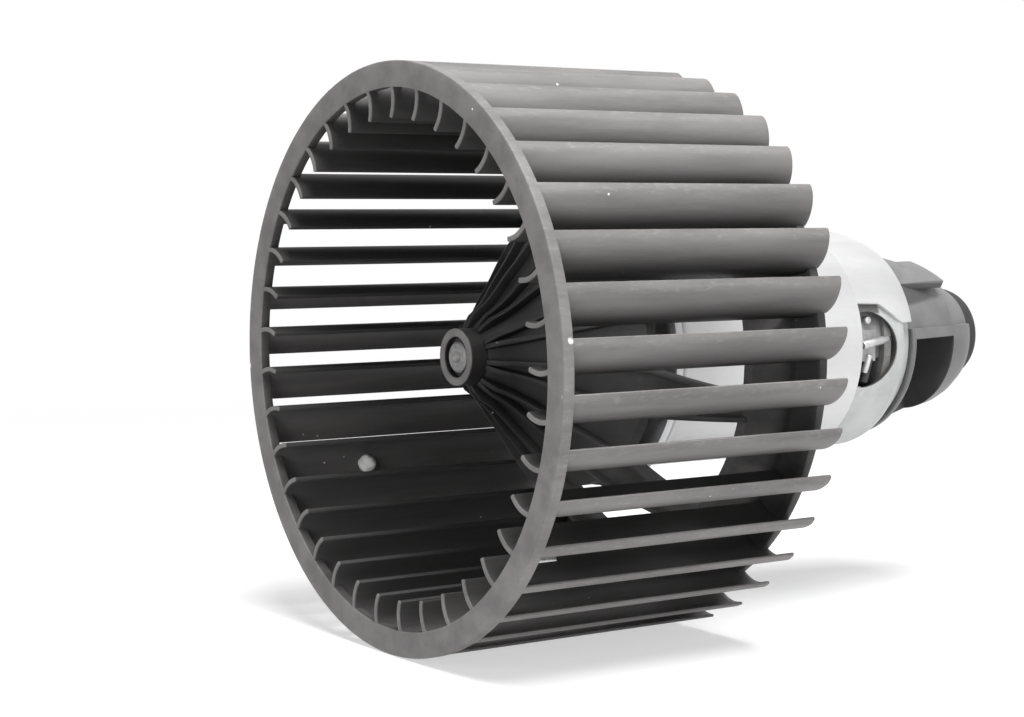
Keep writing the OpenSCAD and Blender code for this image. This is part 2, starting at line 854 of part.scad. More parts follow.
// Coil spring between a brush and the end of its tube, swept along a helix
module brush_spring() {
    sides = 6;
    steps = 12;
    start = brush_end + spring_wire_r + 0.1;
    stop = tube_end - tube_t - spring_wire_r - 0.05;
    rings = spring_turns * steps;
    points = [for (i = [0:rings])
        let (a = 360 * i / steps, x = start + (stop - start) * i / rings)
        for (k = [0:sides - 1])
            let (b = 360 * k / sides, r = spring_coil_r + spring_wire_r * cos(b))
            [x + spring_wire_r * sin(b), r * cos(a), r * sin(a) - brush_z]];
    walls = [for (i = [0:rings - 1]) for (k = [0:sides - 1])
        let (m = (k + 1) % sides)
        [i * sides + k, i * sides + m, (i + 1) * sides + m, (i + 1) * sides + k]];
    first = [for (k = [sides - 1:-1:0]) k];
    last = [for (k = [0:sides - 1]) rings * sides + k];
    polyhedron(points, concat(walls, [first, last]), convexity = 6);
}

module brush_spring_near() {
    color("#b5b8bc") lay() brush_spring();
}

module brush_spring_far() {
    color("#b5b8bc") lay() far_side() brush_spring();
}

// Stranded lead: out of the brush, over the tube and down to the plate
module brush_lead() {
    top = -brush_z + tube_in_h / 2 + tube_t + 0.6;
    translate([lead_x, 0, 0]) {
        disc(lead_r, -brush_z + brush_h / 2, top);
        translate([0, lead_bend_r, top]) rotate([90, 0, 90])
            rotate_extrude(angle = 180) translate([lead_bend_r, 0]) circle(lead_r);
        translate([0, lead_drop_y, 0]) disc(lead_r, brush_plate_top, top);
    }
}

module brush_lead_near() {
    color("#b0683a") lay() brush_lead();
}

module brush_lead_far() {
    color("#b0683a") lay() far_side() brush_lead();
}

// Chokes that stand on the rear plate, inside the cap
module choke_place(side) {
    translate([choke_x, side * choke_y, choke_top_z]) mirror([0, 0, 1]) children();
}

module choke_rod() {
    cylinder(h = choke_len, r = choke_r);
}

module choke_coil() {
    pitch = (choke_len - 4) / choke_turns;
    rotate_extrude() {
        translate([choke_r, 2]) square([choke_wire_r, choke_len - 4]);
        for (i = [0:choke_turns - 1])
            translate([choke_r + choke_wire_r, 2 + pitch * (i + 0.5)]) circle(choke_wire_r);
    }
}

module choke_rod_upper() {
    color("#444448") lay() choke_place(1) choke_rod();
}

module choke_rod_lower() {
    color("#444448") lay() choke_place(-1) choke_rod();
}

module choke_coil_upper() {
    color("#b87345") lay() choke_place(1) choke_coil();
}

module choke_coil_lower() {
    color("#b87345") lay() choke_place(-1) choke_coil();
}

// Blade terminal that hangs from the socket's floor, mouth side down
module terminal(z, across) {
    w = across ? blade_term_t : blade_term_w;
    d = across ? blade_term_w : blade_term_t;
    root = 3;
    tip_back = 1.5;
    translate([tee_x - d / 2, bay_roof + tip_back, z - w / 2])
        cube([d, tee_depth - tip_back + root, w]);
}

module terminal_stem() {
    color("#c9cbce") lay() terminal(tee_split_z - tee_stem_len / 2 + 0.6, false);
}

module terminal_bar() {
    color("#c9cbce") lay() terminal(tee_z - tee_bar_len / 2, true);
}

// Cap outline: base, taper past the socket bay, rounded rear end
// Outline of the cap from its base, with the radii over the socket's rear end and
// just before the cap's rear end
function cap_outline(mid_r, back_r) = [
    [cap_r, cap_z],
    [cap_r, bay_z],
    [mid_r, bay_end_z],
    [back_r, cap_end_z + 6.3],
    [(back_r + cap_end_r) / 2 + 0.4, cap_end_z + 2],
    [cap_end_r, cap_end_z]];

cap_line = cap_outline(cap_mid_r, cap_back_r);

module cap_solid() {
    rotate_extrude() polygon(concat([[0, cap_z]], cap_line, [[0, cap_end_z]]));
    // Fuller housing round the socket, below and beside the shaft axis
    intersection() {
        rotate_extrude() polygon(concat(
            [[0, cap_z]], cap_outline(housing_r, housing_back_r), [[0, cap_end_z]]));
        translate([-far_r, -far_r, cap_end_z]) cube([2 * far_r, far_r + housing_top, cap_len]);
    }
}

module cap_hollow() {
    inner = [for (p = cap_line) [p.x - cap_t, max(p.y, cap_end_z + cap_t)]];
    rotate_extrude() polygon(concat([[0, cap_z + cut_over], [cap_r - cap_t, cap_z + cut_over]],
        inner, [[0, cap_end_z + cap_t]]));
}

// Flat pad on top of the cap, its edges standing off the round body
module cap_pad() {
    crown = 0.8;
    translate([0, 0, bay_end_z + pad_short]) linear_extrude(cap_z - bay_end_z - pad_short)
        rotate(pad_angle) polygon([
            [pad_out - crown, pad_half], [pad_out, pad_half / 3], [pad_out, -pad_half / 3],
            [pad_out - crown, -pad_half], [pad_out - pad_t, -pad_half + crown],
            [pad_out - pad_t - 2, -pad_half / 2], [pad_out - pad_t - 2, pad_half / 2],
            [pad_out - pad_t, pad_half - crown]]);
}

module rear_cap() {
    bay_wall = 2;
    color("#303032") lay() difference() {
        union() {
            difference() {
                cap_solid();
                cap_hollow();
            }
            // Block that holds the bay and the socket
            intersection() {
                cap_solid();
                translate([0, -far_r, bay_end_z - bay_wall])
                    cube([far_r, far_r + block_top, bay_len + 2 * bay_wall]);
            }
            cap_pad();
        }
        // The hollow stays open under the pad, round the block
        intersection() {
            cap_hollow();
            translate([-far_r, block_top, cap_end_z]) cube([2 * far_r, far_r, cap_len + cut_over]);
        }
        // Bay, open below and on the near side
        translate([bay_side, bay_roof - far_r, bay_end_z]) cube([far_r, far_r, bay_len]);
        // T-shaped socket in the bay's roof
        translate([tee_x - tee_bar_w / 2, bay_roof - cut_over, tee_split_z])
            cube([tee_bar_w, tee_depth + cut_over, tee_bar_len]);
        translate([tee_x - tee_stem_w / 2, bay_roof - cut_over, tee_split_z - tee_stem_len])
            cube([tee_stem_w, tee_depth + cut_over, tee_stem_len + eps]);
        terminal(tee_split_z - tee_stem_len / 2 + 0.6, false);
        terminal(tee_z - tee_bar_len / 2, true);
        disc(neck_r, cap_end_z - cut_over, cap_end_z + cap_t + cut_over);
    }
}

// Rubber plug that closes the cap's rear end
module end_plug() {
    lip = 1.2;
    color("#1d1d1e") lay() rotate_extrude() polygon([
        [0, cap_end_z - plug_len], [plug_end_r - 1, cap_end_z - plug_len],
        [plug_end_r, cap_end_z - plug_len + 0.8], [cap_end_r - 0.1, cap_end_z],
        [neck_r, cap_end_z], [neck_r, cap_end_z + cap_t],
        [neck_r + lip, cap_end_z + cap_t], [neck_r, cap_end_z + cap_t + 2],
        [neck_r - 2.5, cap_end_z + cap_t + 2], [neck_r - 2.5, cap_end_z - 1],
        [0, cap_end_z - 1]]);
}

impeller();
hub_clip();
balance_clip();
balance_dab();
shaft();
armature_core();
armature_windings();
commutator_body();
commutator_bars();
front_thrust_washer();
rear_thrust_washer();
motor_can();
front_plate();
flange_rivets();
front_bearing();
front_retainer();
magnet_upper();
magnet_lower();
magnet_spring_near();
magnet_spring_far();
rear_plate();
rear_bearing();
rear_retainer();
brush_plate();
brush_tube_near();
brush_tube_far();
brush_near();
brush_far();
brush_spring_near();
brush_spring_far();
brush_lead_near();
brush_lead_far();
choke_rod_upper();
choke_rod_lower();
choke_coil_upper();
choke_coil_lower();
terminal_stem();
terminal_bar();
rear_cap();
end_plug();
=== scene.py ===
"""Heater blower motor: a drum fan wheel on the shaft of a can motor with a socketed end cap."""
import math

import bmesh
import bpy
from mathutils import Matrix, Vector


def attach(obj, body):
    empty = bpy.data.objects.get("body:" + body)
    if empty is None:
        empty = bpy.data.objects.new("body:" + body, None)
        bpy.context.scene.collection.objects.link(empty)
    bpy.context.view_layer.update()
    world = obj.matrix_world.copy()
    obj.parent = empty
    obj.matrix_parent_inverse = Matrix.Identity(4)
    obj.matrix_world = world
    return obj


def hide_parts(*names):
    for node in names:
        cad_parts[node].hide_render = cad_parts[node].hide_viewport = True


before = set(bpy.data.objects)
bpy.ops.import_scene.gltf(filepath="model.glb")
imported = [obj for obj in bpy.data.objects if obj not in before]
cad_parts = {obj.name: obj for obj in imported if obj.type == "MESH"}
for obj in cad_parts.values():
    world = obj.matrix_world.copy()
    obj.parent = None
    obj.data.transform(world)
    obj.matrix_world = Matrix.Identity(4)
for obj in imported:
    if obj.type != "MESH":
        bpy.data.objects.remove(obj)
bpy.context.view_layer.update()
MM = 0.001

# The camera stands low in front of the fan and well to the right of its shaft, as in the
# photograph: the wheel's mouth is seen at an angle and the motor runs away to the right.
camera_place, camera_lens, sensor_width = (455.5, -388.0, 38.9), 74.58, 36.0
near_clip, far_clip = 0.02, 30.0
sight_right = Vector((0.56976, 0.82181, 0.0))
sight_up = Vector((-0.05904, 0.04099, 0.99741))
sight_back = Vector((0.81969, -0.56828, 0.07188))
camera_data = bpy.data.cameras.new("photo_camera")
camera_data.lens, camera_data.sensor_width = camera_lens, sensor_width
camera_data.clip_start, camera_data.clip_end = near_clip, far_clip
camera = bpy.data.objects.new("photo_camera", camera_data)
bpy.context.scene.collection.objects.link(camera)
bpy.context.scene.camera = camera
camera.matrix_world = (Matrix.Translation(Vector(camera_place) * MM)
                       @ Matrix((sight_right, sight_up, sight_back)).transposed().to_4x4())


# The floor and the backdrop are one plain white sheet, and the wheel's rim just meets it. It
# shows white to the eye and in bright metal, and keeps the soft shadow of the fan. A large soft
# box hangs overhead to the right, with two faint ones low on the right and in front.
class Sock:
    """A socket of a shader node, with arithmetic that adds Math nodes."""

    def __init__(self, tree, link):
        self.tree, self.link = tree, link

    def math(self, operation, *values):
        node = self.tree.nodes.new("ShaderNodeMath")
        node.operation = operation
        for place, value in zip(node.inputs, values):
            plug(self.tree, place, value)
        return Sock(self.tree, node.outputs[0])

    def __add__(self, other):
        return self.math("ADD", self, other)

    def __radd__(self, other):
        return self.math("ADD", other, self)

    def __sub__(self, other):
        return self.math("SUBTRACT", self, other)

    def __rsub__(self, other):
        return self.math("SUBTRACT", other, self)

    def __mul__(self, other):
        return self.math("MULTIPLY", self, other)

    def __rmul__(self, other):
        return self.math("MULTIPLY", other, self)

    def __truediv__(self, other):
        return self.math("DIVIDE", self, other)

    def __rtruediv__(self, other):
        return self.math("DIVIDE", other, self)

    def __pow__(self, other):
        return self.math("POWER", self, other)

    def at_most(self, other):
        return self.math("MINIMUM", self, other)

    def at_least(self, other):
        return self.math("MAXIMUM", self, other)

    def ramp(self, low, high):
        """0 where the value is at low or under, 1 at high, smooth between."""
        node = self.tree.nodes.new("ShaderNodeMapRange")
        node.interpolation_type = "SMOOTHSTEP"
        for name, value in (("Value", self), ("From Min", low), ("From Max", high)):
            plug(self.tree, node.inputs[name], value)
        return Sock(self.tree, node.outputs[0])


def plug(tree, place, value):
    """Puts a value or a link into a node's socket."""
    if isinstance(value, Sock):
        tree.links.new(value.link, place)
    elif isinstance(value, bpy.types.NodeSocket):
        tree.links.new(value, place)
    else:
        place.default_value = value


class Finish:
    """A material under construction: its Principled shader and a maker of further nodes."""

    def __init__(self, name, colour, roughness, metallic=0.0, **fixed):
        self.material = bpy.data.materials.new(name)
        self.material.use_nodes = True
        self.tree = self.material.node_tree
        self.shader = self.tree.nodes["Principled BSDF"]
        for socket, value in (("Base Color", (*colour, 1)), ("Roughness", roughness),
                              ("Metallic", metallic)):
            self.shader.inputs[socket].default_value = value
        for socket, value in fixed.items():
            self.shader.inputs[socket.replace("_", " ")].default_value = value
        self.place = self.node("ShaderNodeTexCoord", out="Object")

    def node(self, kind, settings=None, out=0, **values):
        """Adds a node with its settings and the values or links of its sockets."""
        node = self.tree.nodes.new(kind)
        for key, value in (settings or {}).items():
            setattr(node, key, value)
        for key, value in values.items():
            plug(self.tree, node.inputs[key.replace("_", " ")], value)
        return Sock(self.tree, node.outputs[out])

    def noise(self, per_mm, detail=2.0, rough=0.5, along=None, stretch=1.0):
        """Noise of a grain so many to the millimetre, drawn out along one axis if asked."""
        scale = [per_mm / MM] * 3
        if along is not None:
            scale[along] /= stretch
        place = self.node("ShaderNodeMapping", Vector=self.place, Scale=scale)
        return self.node("ShaderNodeTexNoise", Vector=place, Scale=1.0, Detail=detail, Roughness=rough)

    def mix(self, factor, first, second):
        """Mixes two colours by a mask."""
        node = self.tree.nodes.new("ShaderNodeMix")
        node.data_type = "RGBA"
        plug(self.tree, node.inputs[0], factor)
        for place, value in ((6, first), (7, second)):
            plug(self.tree, node.inputs[place], value if isinstance(value, Sock) else (*value, 1))
        return Sock(self.tree, node.outputs[2])

    def set(self, **values):
        """Sets or links sockets of the Principled shader."""
        for key, value in values.items():
            plug(self.tree, self.shader.inputs[key.replace("_", " ")], value)

    def bump(self, height, depth_mm):
        """Adds a relief, so many millimetres deep."""
        normal = self.node("ShaderNodeBump", Height=height, Distance=depth_mm * MM, Strength=1.0)
        self.set(Normal=normal)


def looked_at(tree):
    """1 for what the eye, bright metal or glass sees, and 0 for the light that falls on the fan."""
    rays = tree.nodes.new("ShaderNodeLightPath").outputs
    eye, mirror, glass = (Sock(tree, rays[name]) for name in
                          ("Is Camera Ray", "Is Glossy Ray", "Is Transmission Ray"))
    return (eye + mirror + glass).at_most(1.0)


white, black = (1, 1, 1), (0.0, 0.0, 0.0)
floor_drop, floor_reach, floor_lit, floor_shaded = -75.15, 6.0, (0.8, 0.8, 0.8), (0.5, 0.5, 0.5)
near_glow, shadow_from, shadow_to = 0.56, 0.16, 0.75
studio_white = Finish("studio_white", floor_lit, 0.9, Specular_IOR_Level=0.0)
away = studio_white.node("ShaderNodeVectorMath", {"operation": "LENGTH"}, out="Value",
                         Vector=studio_white.place)
far_off = away.ramp(shadow_from, shadow_to)
studio_white.set(Emission_Color=(*white, 1))
glow = studio_white.node("ShaderNodeEmission", Color=(*white, 1),
                         Strength=far_off * (1 - near_glow) + near_glow)
lit = studio_white.node("ShaderNodeBsdfDiffuse", Color=studio_white.mix(far_off, floor_shaded, black))
shown = studio_white.node("ShaderNodeAddShader")
for place, shader in zip(shown.link.node.inputs, (glow, lit)):
    plug(studio_white.tree, place, shader)
pick = studio_white.node("ShaderNodeMixShader")
choices = looked_at(studio_white.tree), studio_white.shader.outputs[0], shown
for place, shader in zip(pick.link.node.inputs, choices):
    plug(studio_white.tree, place, shader)
plug(studio_white.tree, studio_white.tree.nodes["Material Output"].inputs[0], pick)

floor_mesh = bmesh.new()
bmesh.ops.create_grid(floor_mesh, x_segments=1, y_segments=1, size=floor_reach)
bmesh.ops.translate(floor_mesh, verts=floor_mesh.verts, vec=(0, 0, floor_drop * MM))
floor_data = bpy.data.meshes.new("floor")
floor_mesh.to_mesh(floor_data)
floor_mesh.free()
floor_data.materials.append(studio_white.material)
floor = bpy.data.objects.new("floor", floor_data)
bpy.context.scene.collection.objects.link(floor)

sky_tint, sky_strength = (0.97, 0.98, 1.0), 0.08
world = bpy.data.worlds.new("studio")
bpy.context.scene.world = world
world.use_nodes = True
sky = world.node_tree
sky.nodes.clear()
sky_seen = sky.nodes.new("ShaderNodeBackground")
sky_seen.inputs[0].default_value, sky_seen.inputs[1].default_value = (*white, 1), 1.0
sky_lit = sky.nodes.new("ShaderNodeBackground")
sky_lit.inputs[0].default_value, sky_lit.inputs[1].default_value = (*sky_tint, 1), sky_strength
sky_mix = sky.nodes.new("ShaderNodeMixShader")
for place, value in zip(sky_mix.inputs, (looked_at(sky), sky_lit.outputs[0], sky_seen.outputs[0])):
    plug(sky, place, value)
sky.links.new(sky_mix.outputs[0], sky.nodes.new("ShaderNodeOutputWorld").inputs[0])


def soft_box(name, place, aim, size, watts):
    """A rectangular lamp at a place in millimetres, turned to its aim."""
    data = bpy.data.lights.new(name, "AREA")
    data.shape, data.size, data.size_y = "RECTANGLE", size[0] * MM, size[1] * MM
    data.energy = watts
    light = bpy.data.objects.new(name, data)
    bpy.context.scene.collection.objects.link(light)
    light.location = Vector(place) * MM
    light.rotation_mode = "QUATERNION"
    light.rotation_quaternion = (Vector(place) - Vector(aim)).to_track_quat("Z", "Y")


soft_box("soft_box_key", place=(330, -120, 830), aim=(0, 0, 0), size=(600, 600), watts=19)
soft_box("soft_box_right", place=(800, 60, 120), aim=(0, 0, 0), size=(500, 500), watts=1.4)
soft_box("soft_box_front", place=(300, -900, 200), aim=(0, -60, 0), size=(600, 500), watts=3)


# The fan wheel is one moulding in black plastic, pressed on the shaft: an inlet ring, curved
# blades with free tails, a dished back ring, and a bell-shaped hub with ribbed arms. Its forms
# meet inside the plastic, and its blades stand where the photograph's wheel had stopped.
inlet_face, wheel_radius, blade_tails, blade_top = 110.0, 75.0, 23.4, 109.85
blade_number, first_blade, blade_wall = 37, 84.9, 1.25
arc_radius, arc_middle, arc_start, arc_sweep = 9.7, Vector((65.62, 2.48)), -121.7, 106.8
blade_line = [(51, 35.5), (54, 35.0), (61.3, 27.3), (66.2, 25.6), (69, 25.3)]
ring_inner, ring_back = 68.4, 107.0
lip_outer, lip_inner, lip_front, lip_back = 68.2, 66.2, 26.6, 24.0
ring_outline = [(ring_inner, inlet_face), (wheel_radius, inlet_face), (wheel_radius, ring_back),
                (ring_inner, ring_back)]
back_outline = [(51, 36.5), (51, 33.5), (54, 33.5), (61.3, 26.3), (lip_inner, 24.6),
                (lip_inner, lip_back), (lip_outer, lip_back), (lip_outer, lip_front),
                (lip_inner, lip_front), (61.3, 28.3), (54, 36.5)]
boss_outline = [(4, 66), (7.4, 66), (7.4, 90), (5.3, 90), (5.3, 87.4), (4, 87.4)]
hub_line = [(6.4, 85.6), (7.6, 84.4), (12, 78), (20, 70.2), (24, 66.2), (36, 55), (46.5, 44),
            (52.5, 35.5)]
hub_wall, hub_under = 2.2, 3.08
bell_reaches = (6.9, 7.6, 8.6, 10, 12, 14, 17, 20, 22, 24, 27, 30, 33, 35.8)
arm_number, first_arm, arm_start, arm_reach, arm_fill = 9, 27.0, 34.0, 18.6, 0.96
arm_widths = [(7.4, 2.7), (36, 13), (53, 7)]
rib_wall, rib_rise, rib_sink, rib_start, rib_reach, rib_grows = 1.4, 2.2, 1.2, 7.0, 45.4, (5.5, 4.0)


def at(radius, height, degrees=0.0):
    """A point by its radius, its height in front of the motor's seat, and its angle."""
    angle = math.radians(degrees)
    return Vector((radius * math.cos(angle), -height, radius * math.sin(angle))) * MM


def along_line(line, x):
    """The height and slope of a smooth line through (x, y) knots."""
    slopes = [(b[1] - a[1]) / (b[0] - a[0]) for a, b in zip(line, line[1:])]
    knots = [slopes[0]] + [(p + q) / 2 for p, q in zip(slopes, slopes[1:])] + [slopes[-1]]
    x = min(max(x, line[0][0]), line[-1][0])
    i = next(i for i in range(len(slopes)) if x <= line[i + 1][0] or i == len(slopes) - 1)
    (x0, y0), (x1, y1) = line[i], line[i + 1]
    span, t = x1 - x0, (x - x0) / (x1 - x0)
    m0, m1 = knots[i] * span, knots[i + 1] * span
    height = ((2 * t ** 3 - 3 * t ** 2 + 1) * y0 + (t ** 3 - 2 * t ** 2 + t) * m0
              + (3 * t ** 2 - 2 * t ** 3) * y1 + (t ** 3 - t ** 2) * m1)
    rise = (6 * t ** 2 - 6 * t) * (y0 - y1) + (3 * t ** 2 - 4 * t + 1) * m0 + (3 * t ** 2 - 2 * t) * m1
    return height, rise / span


def straight_line(line, x):
    """The height of a broken line through (x, y) knots."""
    (x0, y0), (x1, y1) = next(((a, b) for a, b in zip(line, line[1:]) if x <= b[0]), line[-2:])
    return y0 + (y1 - y0) * (x - x0) / (x1 - x0)


def over_hub(out, across, lift, degrees):
    """A point over the hub's skin, by its places along an arm, across it and over it."""
    reach = math.hypot(out, across)
    height, slope = along_line(hub_line, reach)
    tilt = math.hypot(1, slope)
    return at(reach - lift * slope / tilt, height + lift / tilt,
              degrees + math.degrees(math.atan2(across, out)))


def turned(outline, steps=144, rounding=0.0, unrounded=()):
    """Turns an outline of (radius, height) corners round the shaft, most of its corners rounded."""
    made = bmesh.new()
    corners = [made.verts.new(at(*corner)) for corner in outline]
    for a, b in zip(corners, corners[1:] + corners[:1]):
        made.edges.new((a, b))
    if rounding:
        bmesh.ops.bevel(made, geom=[vert for i, vert in enumerate(corners) if i not in unrounded],
                        offset=rounding * MM, segments=3, profile=0.5, affect="VERTICES", material=-1,
                        clamp_overlap=True)
    bmesh.ops.spin(made, geom=made.verts[:] + made.edges[:], cent=(0, 0, 0), axis=(0, -1, 0),
                   angle=math.tau, steps=steps, use_merge=True)
    bmesh.ops.remove_doubles(made, verts=made.verts[:], dist=0.0005 * MM)
    bmesh.ops.recalc_face_normals(made, faces=made.faces[:])
    return made


def bent_sheet(columns, rows, place, wall, rounding, dropped=None):
    """Bends a flat grid to the places given, cuts cells out, gives it its wall and rounds its rim."""
    made = bmesh.new()
    bmesh.ops.create_grid(made, x_segments=columns, y_segments=rows, size=0.5)
    if dropped:
        middles = [(face, face.calc_center_median()) for face in made.faces]
        cells = [face for face, middle in middles
                 if dropped(int((middle.x + 0.5) * columns), int((middle.y + 0.5) * rows))]
        bmesh.ops.delete(made, geom=cells, context="FACES")
    for vert in made.verts:
        vert.co = place(round((vert.co.x + 0.5) * columns), round((vert.co.y + 0.5) * rows))
    made.normal_update()
    shifts = [vert.normal * wall * MM / 2 for vert in made.verts]
    for vert, shift in zip(made.verts, shifts):
        vert.co += shift
    bmesh.ops.solidify(made, geom=made.faces[:], thickness=wall * MM)
    bmesh.ops.recalc_face_normals(made, faces=made.faces[:])
    round_edges(made, rounding)
    return made


def round_edges(made, rounding, over=50):
    """Rounds the edges that turn by more than so many degrees."""
    edges = [edge for edge in made.edges
             if edge.is_manifold and edge.calc_face_angle() > math.radians(over)]
    bmesh.ops.bevel(made, geom=edges, offset=rounding * MM, segments=2, profile=0.5, affect="EDGES",
                    material=-1, clamp_overlap=True)


def swung(made, degrees):
    """Turns a form round the shaft."""
    bmesh.ops.rotate(made, verts=made.verts, cent=(0, 0, 0),
                     matrix=Matrix.Rotation(math.radians(degrees), 3, (0, -1, 0)))
    return made


def repeated(made, number, first=0.0):
    """Copies a form round the shaft, so many in a full turn."""
    swung(made, first)
    bmesh.ops.spin(made, geom=made.verts[:] + made.edges[:] + made.faces[:], cent=(0, 0, 0),
                   axis=(0, -1, 0), angle=math.tau * (number - 1) / number, steps=number - 1,
                   use_duplicate=True)
    return made


def piece(name, forms, finish, body, sharp=35):
    """Joins the forms to one object at the origin, gives it its finish and its body."""
    whole = bmesh.new()
    for form in forms:
        part = bpy.data.meshes.new(name)
        form.to_mesh(part)
        form.free()
        whole.from_mesh(part)
        bpy.data.meshes.remove(part)
    data = bpy.data.meshes.new(name)
    whole.to_mesh(data)
    whole.free()
    data.shade_smooth()
    data.set_sharp_from_angle(angle=math.radians(sharp))
    data.materials.append(finish.material)
    thing = bpy.data.objects.new(name, data)
    bpy.context.scene.collection.objects.link(thing)
    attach(thing, body)
    return thing


def grained(name, dark, light, roughness, metallic=0.0, mottle=0.12, grain=2.0, depth=0.01,
            along=None, stretch=1.0, **fixed):
    """A finish mottled between two colours, with a fine grain in its sheen and its relief."""
    made = Finish(name, light, roughness, metallic, **fixed)
    made.broad = made.noise(mottle, 3.0, 0.6, along, stretch).ramp(0.3, 0.7)
    made.fine = made.noise(grain, 3.0, 0.6, along, stretch)
    made.colour = made.mix(made.broad * 0.6 + made.fine * 0.4, dark, light)
    made.set(Base_Color=made.colour,
             Roughness=made.fine * 0.16 + made.broad * 0.08 + (roughness - 0.12))
    made.bump(made.fine, depth)
    return made


def in_mm(finish):
    """The place on the object, along each axis, in millimetres."""
    parts = finish.node("ShaderNodeSeparateXYZ", Vector=finish.place).link.node.outputs
    return [Sock(finish.tree, part) / MM for part in parts]


def from_shaft(finish):
    """The distance from the shaft's axis and the place along it, in millimetres."""
    x, y, z = in_mm(finish)
    return (x * x + z * z) ** 0.5, y


def blade_form():
    """One curved blade, with its outer part running on behind the back ring as a free tail."""
    columns, tail_radius = 18, (lip_outer + lip_inner) / 2
    places = []
    for i in range(columns + 1):
        angle = math.radians(arc_start + arc_sweep * i / columns)
        places.append(arc_middle + Vector((math.cos(angle), math.sin(angle))) * arc_radius)
    split = min(range(columns + 1), key=lambda i: abs(places[i].length - tail_radius))

    def place(i, j):
        bottom = straight_line(blade_line, places[i].length) if i <= split else lip_front - 1
        return Vector((places[i].x, -(blade_top, bottom, blade_tails)[j], places[i].y)) * MM
    made = bent_sheet(columns, 2, place, blade_wall, rounding=0.3,
                      dropped=lambda i, j: j == 1 and i < split)
    for vert in made.verts:
        trim = min(1.0, (wheel_radius - 0.02) * MM / math.hypot(vert.co.x, vert.co.z))
        vert.co.x, vert.co.z = vert.co.x * trim, vert.co.z * trim
    return made


def arm_form():
    """One arm's web, from the bell to the dished back ring."""
    columns, rows = 14, 4

    def place(i, j):
        out = arm_start + arm_reach * i / columns
        across = straight_line(arm_widths, out) * (j / rows - 0.5) * arm_fill
        return over_hub(out, across, -hub_wall / 2, 0)
    return bent_sheet(columns, rows, place, hub_wall, rounding=0.3)


def rib_form(side):
    """One of the two ribs along an arm's edges."""
    columns = 36

    def place(i, j):
        out = rib_start + rib_reach * i / columns
        rise = rib_rise * min(1.0, (out - rib_grows[0]) / rib_grows[1])
        across = side * max(straight_line(arm_widths, out) / 2 - rib_wall / 2, 0.3)
        return over_hub(out, across, (-rib_sink, rise)[j], 0)
    return bent_sheet(columns, 1, place, rib_wall, rounding=0.35)


bell_skin = [(out, along_line(hub_line, out)[0]) for out in bell_reaches]
bell_under = [(out, height - hub_under) for out, height in reversed(bell_skin)]
hub_forms = [turned(bell_skin + bell_under), turned(boss_outline, steps=96, rounding=0.3)]
hub_forms += [repeated(form, arm_number, first_arm) for form in (arm_form(), rib_form(1), rib_form(-1))]

wheel_black = grained("wheel_black", (0.100, 0.096, 0.095), (0.185, 0.178, 0.176), 0.5, mottle=0.14,
                      grain=2.2, depth=0.014, along=1, stretch=9, Specular_IOR_Level=0.2)
out_mm, along_mm = from_shaft(wheel_black)
# Painted shade: the wheel's colour is darkened down the blades towards the shaft, inside the drum and over
# the hub, and kept light on the inlet ring's face, the boss's face and the hub's back.
front_edge = along_mm.ramp(-109.2, -109.7)
boss_face = along_mm.ramp(-89.4, -89.9) * (1 - out_mm.ramp(8.0, 9.0))
behind_hub = along_mm.ramp(-70.0, -20.0) * (1 - out_mm.ramp(58.0, 62.0))
hub_front = ((1 - out_mm.ramp(54.0, 58.0)) * along_mm.ramp(-40.0, -58.0)
             * (1 - along_mm.ramp(-89.0, -89.8)))
blade_shade, hub_shade = out_mm.ramp(65.0, 74.8) * 0.76 + 0.24, out_mm.ramp(12.0, 50.0) * 0.45 + 0.06
shade = blade_shade * (1 - hub_front) + hub_front * hub_shade
shade = shade.at_least(front_edge * 0.94).at_least(boss_face * 0.9).at_least(behind_hub)
# A painted highlight: a lighter band on the blades' outer edges just behind the inlet ring.
blade_rim_highlight = out_mm.ramp(74.1, 74.6) * along_mm.ramp(-107.5, -106.5)
shade = shade + blade_rim_highlight * 0.3
rubbed = out_mm.ramp(74.2, 74.95) * wheel_black.noise(0.9, 4.0, 0.7, 1, 3).ramp(0.5, 0.75) * 0.25
cells = wheel_black.node("ShaderNodeTexVoronoi", Vector=wheel_black.place, Scale=170.0)
specks = cells.ramp(0.06, 0.04) * wheel_black.noise(0.05, 1.0).ramp(0.6, 0.64)
# Pale spots painted along the ring's outer rim stand for glints of light; the fine specks spread over the
# wheel are dust.
ring_rim = out_mm.ramp(73.9, 74.6) * along_mm.ramp(-106.0, -107.5)
rim_glints = cells.ramp(0.20, 0.12) * ring_rim * wheel_black.noise(0.035, 1.0).ramp(0.52, 0.56)
worn_grey, fleck_and_glint_pale = (0.34, 0.33, 0.325), (0.75, 0.74, 0.72)
# Here the painted shade and the rubbed wear of the edges both go into the colour.
shaded_and_worn = wheel_black.mix(rubbed, wheel_black.mix(shade, black, wheel_black.colour), worn_grey)
wheel_black.set(Base_Color=wheel_black.mix(specks.at_least(rim_glints), shaded_and_worn, fleck_and_glint_pale))
ring_forms = [turned(ring_outline, steps=185, rounding=0.35), turned(back_outline, steps=148, rounding=0.3)]
blades = repeated(blade_form(), blade_number, first_blade)
wheel = piece("fan_wheel", [*ring_forms, blades, *hub_forms], wheel_black, "rotor")
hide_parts("impeller")


# A blackened push-on clip with teeth grips the end of the ground shaft in the boss. Its steel is
# dark and a little oily, and the shaft's end is dulled grey round its centre hole.
def dress(finish, *nodes):
    """Gives CAD nodes a finish."""
    for name in nodes:
        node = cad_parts[name]
        node.data.materials.clear()
        node.data.materials.append(finish.material)


clip_black = grained("clip_black", (0.020, 0.019, 0.020), (0.045, 0.043, 0.044), 0.5, metallic=0.3,
                     mottle=0.6, grain=4.0, depth=0.01)
dress(clip_black, "hub_clip")
shaft_steel = grained("shaft_steel", (0.11, 0.108, 0.107), (0.24, 0.236, 0.234), 0.5, metallic=0.4,
                      mottle=0.9, grain=3.0, depth=0.01, along=1, stretch=0.2)
dress(shaft_steel, "shaft")


